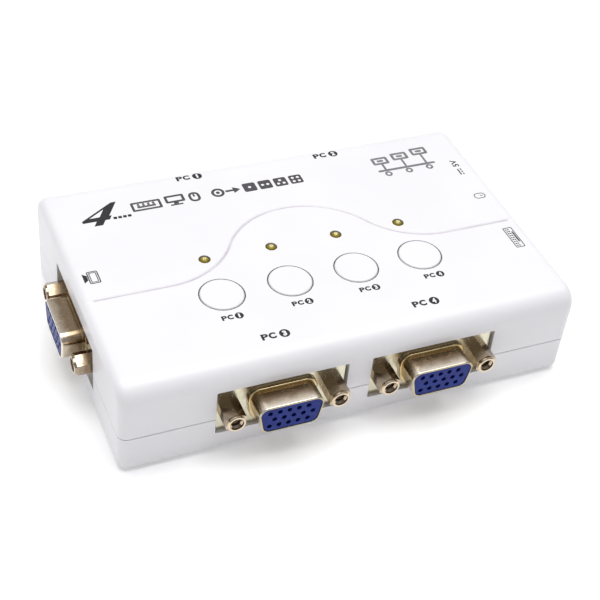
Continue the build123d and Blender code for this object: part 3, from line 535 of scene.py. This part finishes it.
title = [(drawn(keyboard_mark(-35.6, 21.9, -28.0, 25.4, 0.62, 0.62)), 0, 0, 0)]
title.append((drawn(frame_of(-26.9, 22.9, -21.9, 25.8, 0.45, 0.68)), 0, 0, 0))
monitor_foot = [panel(-25.0, 22.2, -23.8, 22.95, 0.05), panel(-26.0, 21.75, -22.8, 22.25, 0.2)]
title.append((drawn(monitor_foot), 0, 0, 0))
title.append((drawn(frame_of(-20.8, 21.9, -17.9, 25.6, 1.35, 0.66)), 0, 0, 0))
title.append((drawn([panel(-19.6, 23.8, -19.1, 24.9, 0.2)]), 0, 0, 0))
printed("title_device_marks", title, grey_ink_finish)

selector = [(drawn([ring(-13.2, 23.7, 1.7), ring(-13.2, 23.7, 1.0)]), 0, 0, 0),
            (drawn([ring(-13.2, 23.7, 0.5, 20)]), 0, 0, 0),
            (drawn([[(-11.2, 23.35), (-9.1, 23.35), (-9.1, 22.5), (-7.2, 23.7), (-9.1, 24.9), (-9.1, 24.05),
                     (-11.2, 24.05)]]), 0, 0, 0)]
for i in range(4):
    x = -6.4 + 4.2 * i
    dots = [ring(x + 1.7 + dx, 23.75 + dy, 0.42, 20) for dx, dy in
            (((0, 0),), ((-0.7, 0), (0.7, 0)), ((-0.75, -0.6), (0.75, -0.6), (0, 0.65)),
             ((-0.7, -0.7), (0.7, -0.7), (-0.7, 0.7), (0.7, 0.7)))[i]]
    selector.append((drawn([panel(x, 22.05, x + 3.4, 25.45, 0.5)] + dots), 0, 0, 0))
printed("title_selector_mark", selector, grey_ink_finish)

links = []
for x, y in ((30.0, 23.6), (35.9, 24.3), (41.8, 25.0)):
    links.append((drawn(frame_of(x, y, x + 4.6, y + 3.0, 0.5, 0.75)), 0, 0, 0))
    links.append((drawn([panel(x + 1.4, y + 1.1, x + 3.2, y + 1.9, 0.3)]), 0, 0, 0))
    links.append((drawn([panel(x + 2.0, 21.35, x + 2.6, y + 0.05, 0.05)]), 0, 0, 0))
    links.append((drawn([ring(x + 2.3, 19.4, 1.0, 28), ring(x + 2.3, 19.4, 0.45, 20)]), 0, 0, 0))
links.append((drawn([panel(30.0, 20.5, 46.4, 21.3, 0.35)]), 0, 0, 0))
printed("network_mark", links, pale_ink_finish)

supply = [(lettering("5V", 1.7, 2.9, 0.02), 52.0, 17.4, 90),
          (drawn([panel(50.65, 13.9, 51.0, 16.4, 0.1)]), 0, 0, 0)]
supply += [(drawn([panel(51.45, 13.9 + 0.95 * i, 51.8, 14.5 + 0.95 * i, 0.1)]), 0, 0, 0) for i in range(3)]
printed("supply_mark", supply, ink_finish)

printed("mouse_mark", [(drawn(frame_of(49.6, 3.4, 52.7, 5.5, 0.95, 0.22)), 0, 0, 0),
                       (drawn([panel(51.2, 4.35, 52.1, 4.55, 0.08)]), 0, 0, 0)], ink_finish)
keys = [(drawn(frame_of(50.2, -17.0, 52.7, -9.3, 0.3, 0.22)), 0, 0, 0),
        (drawn([panel(51.9, -15.0, 52.3, -11.0, 0.1)]), 0, 0, 0)]
keys += [(drawn([panel(x, -16.5 + 0.78 * i, x + 0.4, -16.1 + 0.78 * i, 0.08)]), 0, 0, 0)
         for x in (50.65, 51.25) for i in range(9)]
printed("keyboard_mark", keys, ink_finish)
monitor_mark = [(drawn(frame_of(-52.6, -0.8, -49.95, 3.5, 0.45, 0.26)), 0, 0, 0),
                (drawn(frame_of(-52.15, -0.35, -50.4, 3.05, 0.2, 0.2)), 0, 0, 0),
                (drawn([[(-53.7, 3.0), (-53.7, -0.2), (-52.7, 0.6), (-52.7, 2.2)]]), 0, 0, 0)]
printed("monitor_mark", monitor_mark, ink_finish)


# ------------------------------------------------------------------ small parts modelled on the CAD pieces
def piece_from(name, bm, finish):
    """One smooth-shaded piece of the casing's body, from a mesh in the row frame."""
    mesh = bpy.data.meshes.new(name)
    bmesh.ops.recalc_face_normals(bm, faces=bm.faces)
    bm.to_mesh(mesh)
    bm.free()
    for p in mesh.polygons:
        p.use_smooth = True
    mesh.materials.append(finish)
    piece = bpy.data.objects.new(name, mesh)
    bpy.context.scene.collection.objects.link(piece)
    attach(piece, "casing")
    return piece


def thread(bm, centre, out, root=1.19, crest=0.98, pitch=0.635, turns=5.0, start=1.3, per_turn=28):
    """A helical thread inside a bore that opens along the direction out, from start mm behind the mouth."""
    out = Vector(out)
    side = Vector((0, 0, 1)).cross(out)
    up = Vector((0, 0, 1))
    rows = []
    total = int(turns * per_turn)
    for i in range(total + 1):
        angle = 2 * math.pi * i / per_turn
        fade = min(1.0, i / 12, (total - i) / 12)
        radial = side * math.cos(angle) + up * math.sin(angle)
        depth = start + pitch * i / per_turn
        top_r = root - (root - crest) * fade
        row = []
        for r, along in ((root + 0.03, -0.36), (top_r, -0.06), (top_r, 0.06), (root + 0.03, 0.36)):
            row.append(bm.verts.new(Vector(centre) + radial * r - out * (depth + along * pitch)))
        rows.append(row)
    for a, b in zip(rows, rows[1:]):
        for k in range(4):
            bm.faces.new((a[k], a[(k + 1) % 4], b[(k + 1) % 4], b[k]))
    bm.faces.new(rows[0])
    bm.faces.new(reversed(rows[-1]))


def to_row(bm):
    """Moves mesh points from mm of the casing's frame to metres of the row frame."""
    for v in bm.verts:
        v.co = place(*v.co)


OUT = {"pc1": (0, 1, 0), "pc2": (0, 1, 0), "pc3": (0, -1, 0), "pc4": (0, -1, 0), "monitor": (-1, 0, 0)}
for key, out in OUT.items():
    low, high = [(c - CENTRE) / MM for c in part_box(key + "_jackscrews")]
    centre = (low + high) / 2
    front = Vector([high[k] if out[k] > 0 else low[k] if out[k] < 0 else centre[k] for k in range(3)])
    along = Vector((0, 0, 1)).cross(Vector(out))
    bm = bmesh.new()
    for s in (-1, 1):
        thread(bm, front + along * s * JACKSCREW_SPACING / 2, out)
    to_row(bm)
    piece_from(key + "_screw_threads", bm, finishes["jackscrew_nickel"])


def leaf(bm, x0, y0, z, length, width, bow, thick):
    """A pressed spring tongue in a USB shell: bowed inwards from the shell's wall at z."""
    steps = 10
    rows = []
    for i in range(steps + 1):
        t = i / steps
        rise = bow * math.sin(math.pi * min(1.0, t * 1.15)) ** 1.4
        x = x0 - length * t
        half = width / 2 * (1.0 if t < 0.75 else 1.0 - 0.35 * (t - 0.75) / 0.25)
        direction = 1 if bow > 0 else -1
        row = [bm.verts.new((x, y0 - half, z + rise)), bm.verts.new((x, y0 + half, z + rise)),
               bm.verts.new((x, y0 + half, z + rise + thick * direction)),
               bm.verts.new((x, y0 - half, z + rise + thick * direction))]
        rows.append(row)
    for a, b in zip(rows, rows[1:]):
        for k in range(4):
            bm.faces.new((a[k], a[(k + 1) % 4], b[(k + 1) % 4], b[k]))
    bm.faces.new(rows[0])
    bm.faces.new(reversed(rows[-1]))


for key in ("mouse_usb", "keyboard_usb"):
    low, high = [(c - CENTRE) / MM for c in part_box(key + "_shell")]
    mid_y = (low.y + high.y) / 2
    top_z = high.z - USB_RIM - USB_WALL
    bottom_z = high.z - USB_RIM - USB_HEIGHT + USB_WALL
    bm = bmesh.new()
    for dy in (-3.2, 3.2):
        leaf(bm, high.x - 1.0, mid_y + dy, top_z, 5.2, 1.9, -0.42, 0.18)
        leaf(bm, high.x - 1.0, mid_y + dy, bottom_z, 5.2, 1.9, 0.42, 0.18)
    to_row(bm)
    springs = piece_from(key + "_leaf_springs", bm, finishes["usb_steel"])
    bevel = springs.modifiers.new("edge", "BEVEL")
    bevel.width = 0.04 * MM
    bevel.segments = 2


# ------------------------------------------------------------------ floor, light and camera
def floor_finish():
    f = Finish("floor", 0.6, Emission_Color=(1, 1, 1, 1), Emission_Strength=0.17)
    f.colour(f.mix(f.range(f.noise(0.01, 2.0), 0.3, 0.7), (0.93, 0.93, 0.93, 1), (0.95, 0.95, 0.95, 1)))
    return f.material


bm = bmesh.new()
bmesh.ops.create_circle(bm, cap_ends=True, segments=96, radius=6.0)
mesh = bpy.data.meshes.new("floor")
bm.to_mesh(mesh)
bm.free()
mesh.materials.append(floor_finish())
floor = bpy.data.objects.new("floor", mesh)
bpy.context.scene.collection.objects.link(floor)
floor.location.z = cad_box[0].z - 0.02 * MM


def sky():
    """A studio tent: white above and a little behind, dark below."""
    world = bpy.data.worlds.new("studio")
    bpy.context.scene.world = world
    world.use_nodes = True
    tree = world.node_tree
    background = tree.nodes["Background"]
    coords = tree.nodes.new("ShaderNodeTexCoord")
    dot = tree.nodes.new("ShaderNodeVectorMath")
    dot.operation = "DOT_PRODUCT"
    dot.inputs[1].default_value = Vector((0.05, 0.2, 0.98)).normalized()
    tree.links.new(coords.outputs["Generated"], dot.inputs[0])
    ramp = tree.nodes.new("ShaderNodeMapRange")
    for key, value in (("From Min", -0.9), ("From Max", 0.9), ("To Min", 0.0), ("To Max", 1.0)):
        ramp.inputs[key].default_value = value
    tree.links.new(dot.outputs["Value"], ramp.inputs["Value"])
    colours = tree.nodes.new("ShaderNodeValToRGB")
    stops = colours.color_ramp.elements
    stops[0].position, stops[0].color = 0.0, (0.05, 0.05, 0.06, 1)
    stops[1].position, stops[1].color = 1.0, (1.0, 1.0, 1.0, 1)
    mid = stops.new(0.55)
    mid.color = (0.24, 0.245, 0.28, 1)
    tree.links.new(ramp.outputs["Result"], colours.inputs["Fac"])
    tree.links.new(colours.outputs["Color"], background.inputs["Color"])
    background.inputs["Strength"].default_value = 0.55


sky()


def softbox(name, spot, target, size, power, tint=(1, 1, 1)):
    data = bpy.data.lights.new(name, "AREA")
    data.shape = "RECTANGLE"
    data.size, data.size_y = size
    data.energy = power
    data.color = tint
    lamp = bpy.data.objects.new(name, data)
    bpy.context.scene.collection.objects.link(lamp)
    lamp.location = spot
    lamp.rotation_mode = "QUATERNION"
    lamp.rotation_quaternion = (Vector(target) - Vector(spot)).to_track_quat("-Z", "Y")


softbox("overhead", (0.1, 0.12, 1.6), (0.05, 0, 0), (1.6, 1.2), 23.2)
softbox("left_fill", (-1.5, 0.1, 0.7), (0, 0, 0.02), (0.9, 0.9), 1.2, (0.92, 0.96, 1.0))

camera_data = bpy.data.cameras.new("camera")
camera_data.sensor_width = 36.0
camera_data.lens = 79.45
camera_data.clip_start = 0.01
camera_data.clip_end = 20.0
camera = bpy.data.objects.new("camera", camera_data)
bpy.context.scene.collection.objects.link(camera)
camera.location = place(-109.871, -222.772, 225.580)
camera.rotation_mode = "QUATERNION"
camera.rotation_quaternion = Quaternion((0.89840669, 0.39292201, -0.11679834, -0.15759396))
bpy.context.scene.camera = camera
bpy.context.scene.view_settings.view_transform = "Standard"
